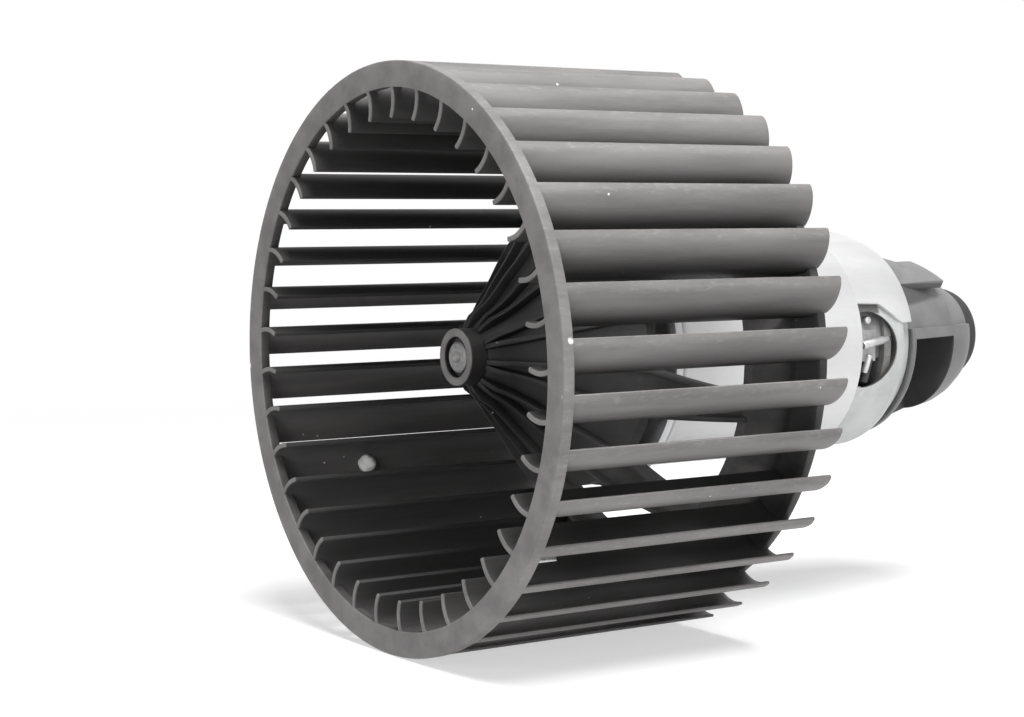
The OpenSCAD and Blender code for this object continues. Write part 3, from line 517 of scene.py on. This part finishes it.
# Balancing left two marks on the wheel: a dab of white putty pressed on a blade's hollow face,
# and a small bright spring clip pushed over a blade's inner edge. The putty is a soft, uneven drop.
dab_place, dab_facing, dab_radius, dab_height = (-62.2, -79.4, -34.3), (0.98, 0.0, -0.18), 2.4, 2.7
clip_front, clip_back, clip_reach, clip_gap, clip_wall, clip_blade = 96.0, 89.0, 3.0, 1.75, 0.5, 13


def dab_form():
    """A round drop, swollen unevenly by two slow waves and leaned against its blade."""
    made = bmesh.new()
    bmesh.ops.create_icosphere(made, subdivisions=5, radius=dab_radius * MM)
    lean = Vector(dab_facing).normalized().to_track_quat("Z", "Y").to_matrix().to_4x4()
    for vert in made.verts:
        x, y, z = vert.co / MM
        swell = 1 + 0.05 * math.sin(1.7 * x + 1.1 * y) + 0.04 * math.sin(2.3 * y - 0.9 * x + 1.3 * z)
        height = z * dab_height / dab_radius * (swell + 0.02 * x)
        vert.co = Vector((x * swell, y * swell, height)) * MM
    bmesh.ops.transform(made, matrix=Matrix.Translation(Vector(dab_place) * MM) @ lean, verts=made.verts)
    return made


def clip_form():
    """A strip bent to a U over the inner edge of the blade at the lower right."""
    edge = math.radians(arc_start)
    root = arc_middle + Vector((math.cos(edge), math.sin(edge))) * arc_radius
    along = Vector((-math.sin(edge), math.cos(edge)))
    side = Vector((along.y, -along.x))
    bend = [math.radians(turn) for turn in range(0, 181, 20)]
    line = ([(clip_reach - clip_reach * i / 5, 1) for i in range(5)]
            + [(-clip_gap / 2 * math.sin(turn), math.cos(turn)) for turn in bend]
            + [(clip_reach * i / 5, -1) for i in range(1, 6)])

    def place(i, j):
        reach, across = line[i]
        point = root + along * reach + side * across * clip_gap / 2
        return Vector((point.x, -(clip_front + (clip_back - clip_front) * j / 6), point.y)) * MM
    made = bent_sheet(len(line) - 1, 6, place, clip_wall, rounding=0.12)
    return swung(made, first_blade - 360 / blade_number * clip_blade)


putty = grained("putty", (0.86, 0.855, 0.84), (0.97, 0.965, 0.955), 0.6, mottle=0.5, grain=1.6,
                depth=0.15)
dab = piece("putty_dab", [dab_form()], putty, "rotor")
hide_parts("balance_dab")
clip_bright = grained("clip_bright", (0.52, 0.525, 0.53), (0.74, 0.745, 0.75), 0.3, metallic=0.9,
                      mottle=0.5, grain=3.0, depth=0.008, along=1, stretch=6)
clip = piece("edge_clip", [clip_form()], clip_bright, "rotor")
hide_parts("balance_clip")


# The can is one drawn steel shell, bright zinc-plated, flanged in front. Behind, its upper half
# is drawn on as a hood that closes over the end cup, with a slanted notch beside each brush.
can_outline = [(30.6, 43.8), (35.9, 43.8), (35.9, 41.8), (33.4, 41.8), (32.45, 41.35), (32, 40.3),
               (32, -23.2), (30.6, -23.2)]
hood_top, hood_wall, hood_from, hood_bend, hood_back, hood_lip = 31.8, 1.2, 22.6, 33.0, 45.3, 29.05
hood_sides = [(22.6, 22.2), (31.5, 21.6), (33.5, 19.0), (38.8, 12.4), (40.2, 11.5), (45.3, 12.2)]
hood_seat = [(22.6, 30.6), (39.0, 30.6), (40.8, 29.25), (42.2, 28.45), (45.4, 28.45)]


def hood_form():
    """The can's upper half behind its body, bent in at the rear and seated on the end cup."""
    columns, rows = 96, 26

    def place(i, j):
        depth = hood_from + (hood_back - hood_from) * j / rows
        bend = max(0.0, (depth - hood_bend) / (hood_back - hood_bend)) ** 2
        radius = hood_top - (hood_top - hood_lip) * bend - hood_wall / 2
        low = straight_line(hood_sides, depth)
        return at(radius, -depth, low + (180 - 2 * low) * i / columns)
    made = bent_sheet(columns, rows, place, hood_wall, rounding=0.2)
    for vert in made.verts:
        reach = math.hypot(vert.co.x, vert.co.z)
        seat = straight_line(hood_seat, vert.co.y / MM) * MM
        if reach < seat:
            vert.co.x, vert.co.z = vert.co.x * seat / reach, vert.co.z * seat / reach
    return made


inside_shade, can_metal = (0.05, 0.048, 0.046), 0.55
can_bright = grained("can_bright", (0.45, 0.45, 0.455), (0.61, 0.61, 0.615), 0.36, metallic=can_metal,
                     mottle=0.05, grain=1.2, depth=0.006, along=1, stretch=6)
out_mm, along_mm = from_shaft(can_bright)
# Painted shade: the can's inner wall is darkened and made less metallic.
inside = out_mm.ramp(31.2, 30.7) * along_mm.ramp(23.2, 22.6)
can_bright.set(Base_Color=can_bright.mix(inside, can_bright.colour, inside_shade),
               Metallic=can_metal - inside * 0.5)
can_forms = [turned(can_outline, steps=160, rounding=0.3), hood_form()]
can = piece("can_shell", can_forms, can_bright, "motor")
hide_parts("motor_can")


# The front plate is a bright zinc-plated pressing with a bearing cup and air holes, held to the
# can's flange by four small rivets of a greyer steel.
plate_bright = grained("plate_bright", (0.60, 0.60, 0.61), (0.78, 0.78, 0.79), 0.36, metallic=0.7,
                       mottle=0.15, grain=1.6, depth=0.006)
dress(plate_bright, "front_plate")
rivet_grey = grained("rivet_grey", (0.42, 0.42, 0.43), (0.60, 0.60, 0.61), 0.38, metallic=0.8,
                     mottle=0.6, grain=3.0, depth=0.01)
dress(rivet_grey, "flange_rivets")


# The end cup is pressed from grey metal, its rim turned in to a neck for the cap. A round
# opening on each side shows a brush, and small holes in its web let the cooling air out.
cup_outline = [(8, -34), (10, -34), (10, -40), (27.15, -40), (27.15, -37), (29.15, -37), (29.15, -14),
               (30.55, -14), (30.55, -38.2), (30.7, -39.2), (30.3, -40.7), (29.2, -41.4),
               (27.0, -41.7), (26.9, -45.9), (24.6, -45.9), (24.6, -42), (10, -42), (10, -45.2),
               (5.2, -45.2), (5.2, -43), (8, -43)]
opening_radius, opening_depth, opening_height, wall_between = 10.6, 27.2, -1.0, (20, 40)
vent_radius, vent_circle, vent_number, first_vent, web_middle, vent_cut = 3.0, 19.0, 6, 15, 41, 3


def barrel(start, end, radius, rounding=0.0, segments=32):
    """A straight round bar between two points, in millimetres."""
    start, end = Vector(start) * MM, Vector(end) * MM
    made = bmesh.new()
    turn = (end - start).to_track_quat("Z", "Y").to_matrix().to_4x4()
    bmesh.ops.create_cone(made, cap_ends=True, segments=segments, radius1=radius * MM,
                          radius2=radius * MM, depth=(end - start).length,
                          matrix=Matrix.Translation((start + end) / 2) @ turn)
    if rounding:
        round_edges(made, rounding)
    return made


def block(low, high):
    """A box between two corners, in millimetres, for cutting."""
    low, high = Vector(low) * MM, Vector(high) * MM
    made = bmesh.new()
    bmesh.ops.create_cube(made, size=1, matrix=Matrix.Translation((low + high) / 2)
                          @ Matrix.Diagonal((*(high - low), 1)))
    return made


def carved(made, *cutters):
    """Cuts other forms out of a form."""
    things = []
    for form in (made, *cutters):
        data = bpy.data.meshes.new("form")
        form.to_mesh(data)
        form.free()
        things.append(bpy.data.objects.new("form", data))
        bpy.context.scene.collection.objects.link(things[-1])
    for cutter in things[1:]:
        cut = things[0].modifiers.new("cut", "BOOLEAN")
        cut.operation, cut.solver, cut.object = "DIFFERENCE", "EXACT", cutter
    result = bmesh.new()
    result.from_object(things[0], bpy.context.evaluated_depsgraph_get())
    for thing in things:
        data = thing.data
        bpy.data.objects.remove(thing)
        bpy.data.meshes.remove(data)
    return result


cup_cuts = [barrel(*((side * out, opening_depth, opening_height) for out in wall_between),
                   opening_radius, segments=72) for side in (1, -1)]
for index in range(vent_number):
    hole = at(vent_circle, -web_middle, first_vent + 360 / vent_number * index) / MM
    cup_cuts.append(barrel(hole - Vector((0, vent_cut, 0)), hole + Vector((0, vent_cut, 0)), vent_radius))
cup_grey = grained("cup_grey", (0.34, 0.345, 0.345), (0.48, 0.485, 0.485), 0.42, metallic=0.3,
                   mottle=0.10, grain=1.4, depth=0.012)
out_mm, along_mm = from_shaft(cup_grey)
height_mm = in_mm(cup_grey)[2]
# Painted shade: a dark band is painted under the hood's notch edge as its shadow, and the cup's inner walls
# are darkened.
hood_shadow = height_mm.ramp(8.6, 9.4) * along_mm.ramp(32.4, 31.4) * 0.9
inside = (out_mm.ramp(30.4, 29.9) * along_mm.ramp(41.0, 40.0)).at_least(hood_shadow)
cup_grey.set(Base_Color=cup_grey.mix(inside, cup_grey.colour, (0.06, 0.058, 0.056)))
cup_form = carved(turned(cup_outline, steps=160, rounding=0.25, unrounded=range(9, 12)), *cup_cuts)
cup = piece("end_cup", [cup_form], cup_grey, "motor")
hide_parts("rear_plate")


# Each opening shows the clamp of the brush holder: a curved tin-plated strip, a bright bar across
# the opening, a shorter slanted one under it, three bright lugs, a dark spot at the long bar's end,
# and a dark bar painted under the slanted one as its shadow.
strip_radius, strip_wall, strip_from, strip_to, strip_low, strip_high = 27.2, 0.8, 24.5, 38.4, 3.0, 23.5
clamp_bars = [((28.2, 26.6, 0.1), (28.0, 36.4, 1.7), 1.15, 0.4),
              ((27.9, 29.6, -2.6), (27.2, 28.2, -7.6), 0.95, 0.4),
              ((26.6, 38.2, 2.6), (28.2, 38.4, 2.6), 0.7, 0.2),
              ((26.4, 28.8, 7.0), (28.4, 28.6, 7.2), 1.1, 0.5),
              ((25.0, 28.0, -12.4), (27.6, 26.8, -12.9), 1.2, 0.5)]
# The first dark piece is a dark spot at the long bar's end; the second is a bar painted dark as the shadow
# under the slanted bar.
clamp_spot_and_shadow = [((28.0, 36.3, 1.68), (28.0, 37.3, 1.85), 1.0, 0.3),
               ((26.6, 30.6, -3.6), (26.0, 29.0, -10.4), 1.3, 0.4)]


def clamp_strip():
    """The curved strip behind the near opening."""
    columns, rows = 14, 10

    def place(i, j):
        return at(strip_radius, -(strip_from + (strip_to - strip_from) * j / rows),
                  strip_low + (strip_high - strip_low) * i / columns)
    return bent_sheet(columns, rows, place, strip_wall, rounding=0.2)


clamp_grey = grained("clamp_grey", (0.16, 0.16, 0.16), (0.34, 0.34, 0.34), 0.45, metallic=0.4,
                     mottle=0.25, depth=0.02)
bar_bright = grained("bar_bright", (0.36, 0.36, 0.365), (0.58, 0.58, 0.585), 0.34, metallic=0.6,
                     mottle=0.4, grain=3.0)
# A near-black for the dark spot and for the painted shadow under the slanted bar.
spot_and_shadow_dark = grained("spot_and_shadow_dark", (0.018, 0.018, 0.019), (0.045, 0.045, 0.047), 0.6, mottle=0.8,
                    grain=4.0, depth=0.02)
for side, half_turn in (("near", 0), ("far", 180)):
    bars = [swung(barrel(*bar), half_turn) for bar in clamp_bars]
    dark_pieces = [swung(barrel(*core), half_turn) for core in clamp_spot_and_shadow]
    piece("clamp_strip_" + side, [swung(clamp_strip(), half_turn)], clamp_grey, "motor")
    piece("clamp_bars_" + side, bars, bar_bright, "motor")
    piece("clamp_spot_and_shadow_" + side, dark_pieces, spot_and_shadow_dark, "motor")


# The cap is moulded in black plastic: a tapering round body, a fuller housing below it with a
# bay for the plug, a T-shaped socket in the bay's roof, and a raised pad on top. Its spigot
# snaps into the end cup's neck, up to a small lip.
cap_outline = [(4, -42.2), (26.85, -42.2), (26.85, -45.9), (26.3, -46.6), (25.8, -48.4),
               (23.7, -58.4), (21.3, -69.5), (19.3, -73.4), (16.9, -77.4), (15.2, -80.9),
               (14.1, -83.2), (4, -83.2)]
housing_outline = [(15, -46.4), (27.6, -46.4), (28.0, -46.7), (28.0, -47.7), (27.55, -48.4),
                   (21.7, -69.5), (20.9, -73.6), (19.6, -77), (17.4, -80.8), (13.9, -83.1), (9, -83.1)]
housing_top, bay_side, bay_roof, bay_front, bay_back = 4.0, 2.0, 1.0, 48.3, 69.5
cut_past, tee_foot, cup_side, plug_side = 60, -5, 40, 90
tee_middle, tee_top, tee_front, tee_split, tee_back = 10.2, 11.5, 49.6, 58.0, 68.2
tee_bar, tee_stem = 12.4, 8.7
pad_reach, pad_crown, pad_centre, pad_half, pad_wall, pad_angle = 23.9, 0.5, -5.2, 7.3, 2.6, 68.6
pad_front, pad_back, pad_dip = 45.9, 66.7, 1.1


def bay_cuts(more=0.0):
    """The bay and the T over it, a little larger for the housing, so that no two walls coincide."""
    bar, stem = tee_bar / 2 + more, tee_stem / 2 + more
    bay = block((bay_side - more, bay_front - more, -cut_past),
                (cut_past, bay_back + more, bay_roof + more))
    tee_across = block((tee_middle - bar, tee_front - more, tee_foot),
                       (tee_middle + bar, tee_split + more, tee_top + more))
    tee_along = block((tee_middle - stem, tee_split - 0.1, tee_foot),
                      (tee_middle + stem, tee_back + more, tee_top + more))
    return [bay, tee_across, tee_along]


def pad_form():
    """The pad, a slightly crowned plate that dips in front."""
    columns, rows = 16, 12

    def place(i, j):
        across = pad_centre + pad_half * (2 * i / columns - 1)
        crown = pad_crown * ((across - pad_centre) / pad_half) ** 2
        reach = pad_reach - crown - pad_wall / 2 - pad_dip * (1 - j / rows) ** 2
        return at(math.hypot(reach, across), -(pad_front + (pad_back - pad_front) * j / rows),
                  pad_angle + math.degrees(math.atan2(across, reach)))
    return bent_sheet(columns, rows, place, pad_wall, rounding=0.5)


cap_black = grained("cap_black", (0.088, 0.088, 0.090), (0.150, 0.150, 0.153), 0.46, grain=2.2,
                    depth=0.012, Specular_IOR_Level=0.5)
cap_x, cap_y, cap_z = in_mm(cap_black)
# Painted shade: the bay's walls are darkened, and a dark band under the pad's edge is painted as its
# shadow.
in_bay = (cap_x.ramp(bay_side - 0.5, bay_side - 0.1) * cap_y.ramp(bay_front - 0.1, bay_front + 0.05)
          * (1 - cap_y.ramp(bay_back - 0.05, bay_back + 0.1))
          * (1 - cap_z.ramp(bay_roof + 0.05, bay_roof + 0.3)))
pad_cos, pad_sin = math.cos(math.radians(pad_angle)), math.sin(math.radians(pad_angle))
over_pad, past_pad = cap_x * pad_cos + cap_z * pad_sin, cap_x * pad_sin - cap_z * pad_cos
under_pad = (over_pad.ramp(17.8, 18.8) * (1 - over_pad.ramp(22.4, 22.9)) * past_pad.ramp(11.9, 12.4)
             * cap_y.ramp(pad_front, pad_front + 0.5) * (1 - cap_y.ramp(pad_back - 0.7, pad_back + 0.5)))
bay_shade, pad_shadow = (0.025, 0.025, 0.025), (0.03, 0.03, 0.03)
bay_shaded_skin = cap_black.mix(in_bay * 0.75, cap_black.colour, bay_shade)
cap_black.set(Base_Color=cap_black.mix(under_pad * 0.85, bay_shaded_skin, pad_shadow))
cap_body = carved(turned(cap_outline, rounding=0.3, unrounded=range(7, 11)), *bay_cuts())
upper_half = block((-cut_past, cup_side, housing_top), (cut_past, plug_side, cut_past))
housing = turned(housing_outline, rounding=0.3, unrounded=range(5, 9))
housing = carved(housing, upper_half, *bay_cuts(more=0.04))
cap = piece("cap_moulding", [cap_body, housing, pad_form()], cap_black, "motor", sharp=30)
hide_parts("rear_cap")


# Two flat tin-plated terminals stand in the socket, one along the shaft and one across it. Each
# is stamped from strip, with its edges broken and its tip narrowed for the plug.
terminal_wall, terminal_width, terminal_tip, terminal_root = 0.8, 6.3, 2.6, 14.4
tip_shares = {11: 0.9, 12: 0.72}


def terminal_form(depth, across):
    """A blade that hangs from the socket's roof, along the shaft or across it."""
    columns, rows = 6, 12

    def place(i, j):
        share = (i / columns - 0.5) * terminal_width * tip_shares.get(j, 1.0)
        height = terminal_root + (terminal_tip - terminal_root) * j / rows
        x, y = (share, 0) if across else (0, share)
        return Vector((tee_middle + x, depth + y, height)) * MM
    return bent_sheet(columns, rows, place, terminal_wall, rounding=0.15)


tin_bright = grained("tin_bright", (0.55, 0.555, 0.56), (0.80, 0.805, 0.81), 0.3, metallic=0.9,
                     mottle=0.6, grain=4.0, along=2, stretch=5)
for name, depth, across in (("terminal_stem", 62.5, False), ("terminal_bar", 53.8, True)):
    blade = piece(name + "_strip", [terminal_form(depth, across)], tin_bright, "motor")
    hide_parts(name)


# A rubber plug closes the cap's rear end. It is matt and darker than the cap, with a rounded
# shoulder and a shallow dish in its face.
plug_outline = [(3, -82.4), (13.95, -82.4), (14.25, -83.6), (13.9, -85.2), (13.2, -87.4),
                (12.5, -88.55), (11.4, -88.75), (9.8, -88.5), (9.0, -87.9), (3, -87.7)]
core_from, core_to, core_radius = (0, 83, 0), (0, 87.9, 0), 3.2
plug_black = grained("plug_black", (0.014, 0.014, 0.015), (0.032, 0.032, 0.033), 0.7, mottle=0.25,
                     grain=3.0, depth=0.03, Specular_IOR_Level=0.35)
rubber_forms = [turned(plug_outline, steps=120, rounding=0.3), barrel(core_from, core_to, core_radius)]
rubber = piece("plug_rubber", rubber_forms, plug_black, "motor")
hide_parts("end_plug")


# Inside the can turns the armature: varnished steel sheets on the shaft, copper windings, and a
# commutator of copper bars on a brown body. Nylon washers take up its end play.
core_sheets = grained("core_sheets", (0.05, 0.05, 0.053), (0.14, 0.14, 0.145), 0.5, metallic=0.5,
                      mottle=0.3, grain=1.5, depth=0.02, along=1, stretch=0.08)
dress(core_sheets, "armature_core")
winding_copper = grained("winding_copper", (0.22, 0.085, 0.035), (0.50, 0.23, 0.11), 0.35, metallic=0.5,
                         mottle=0.4, grain=2.2, depth=0.15, along=1, stretch=4, Coat_Weight=0.5)
dress(winding_copper, "armature_windings")
bar_copper = grained("bar_copper", (0.42, 0.20, 0.11), (0.66, 0.36, 0.21), 0.32, metallic=0.9,
                     mottle=0.4, grain=3.0, along=1, stretch=0.15)
dress(bar_copper, "commutator_bars")
comm_brown = grained("comm_brown", (0.07, 0.035, 0.02), (0.12, 0.065, 0.04), 0.5, mottle=0.3)
dress(comm_brown, "commutator_body")
nylon = grained("nylon", (0.58, 0.51, 0.34), (0.74, 0.67, 0.48), 0.45, mottle=0.3)
dress(nylon, "front_thrust_washer", "rear_thrust_washer")


# Round the armature lie two ferrite arcs, pressed apart by bowed steel strips, and the chokes'
# rods are of the same ferrite. The shaft runs in bronze bushes held by spring steel retainers.
ferrite = grained("ferrite", (0.035, 0.035, 0.038), (0.085, 0.085, 0.09), 0.6, mottle=0.25, grain=1.6,
                  depth=0.04)
dress(ferrite, "magnet_upper", "magnet_lower", "choke_rod_upper", "choke_rod_lower")
spring_strip = grained("spring_strip", (0.36, 0.36, 0.37), (0.55, 0.55, 0.56), 0.36, metallic=0.85,
                       mottle=0.4, grain=2.5, depth=0.008, along=1, stretch=5)
dress(spring_strip, "magnet_spring_near", "magnet_spring_far", "front_retainer", "rear_retainer")
bronze = grained("bronze", (0.30, 0.21, 0.10), (0.50, 0.37, 0.20), 0.45, metallic=0.8, mottle=0.5,
                 grain=3.0, depth=0.03)
dress(bronze, "front_bearing", "rear_bearing")


# Carbon brushes slide in pressed tubes on a grey plate, pushed by springs and fed by copper
# leads. The tubes are tin-plated, and the chokes beside them have enamelled coils.
board_grey = grained("board_grey", (0.10, 0.10, 0.098), (0.20, 0.20, 0.195), 0.55, mottle=0.3, depth=0.02)
dress(board_grey, "brush_plate")
tube_tin = grained("tube_tin", (0.24, 0.24, 0.24), (0.42, 0.42, 0.42), 0.38, metallic=0.7, mottle=0.3,
                   grain=2.5)
dress(tube_tin, "brush_tube_near", "brush_tube_far")
carbon = grained("carbon", (0.018, 0.018, 0.02), (0.05, 0.05, 0.055), 0.55, metallic=0.1, mottle=0.6,
                 grain=4.0, depth=0.02)
dress(carbon, "brush_near", "brush_far")
spring_wire = grained("spring_wire", (0.45, 0.45, 0.46), (0.68, 0.68, 0.69), 0.3, metallic=0.9,
                      mottle=0.6, grain=4.0)
dress(spring_wire, "brush_spring_near", "brush_spring_far")
lead_copper = grained("lead_copper", (0.30, 0.14, 0.07), (0.60, 0.32, 0.18), 0.42, metallic=0.8,
                      mottle=1.2, grain=5.0, depth=0.15)
dress(lead_copper, "brush_lead_near", "brush_lead_far", "choke_coil_upper", "choke_coil_lower")


# The colours stay as written in the picture.
bpy.context.scene.view_settings.view_transform = "Standard"
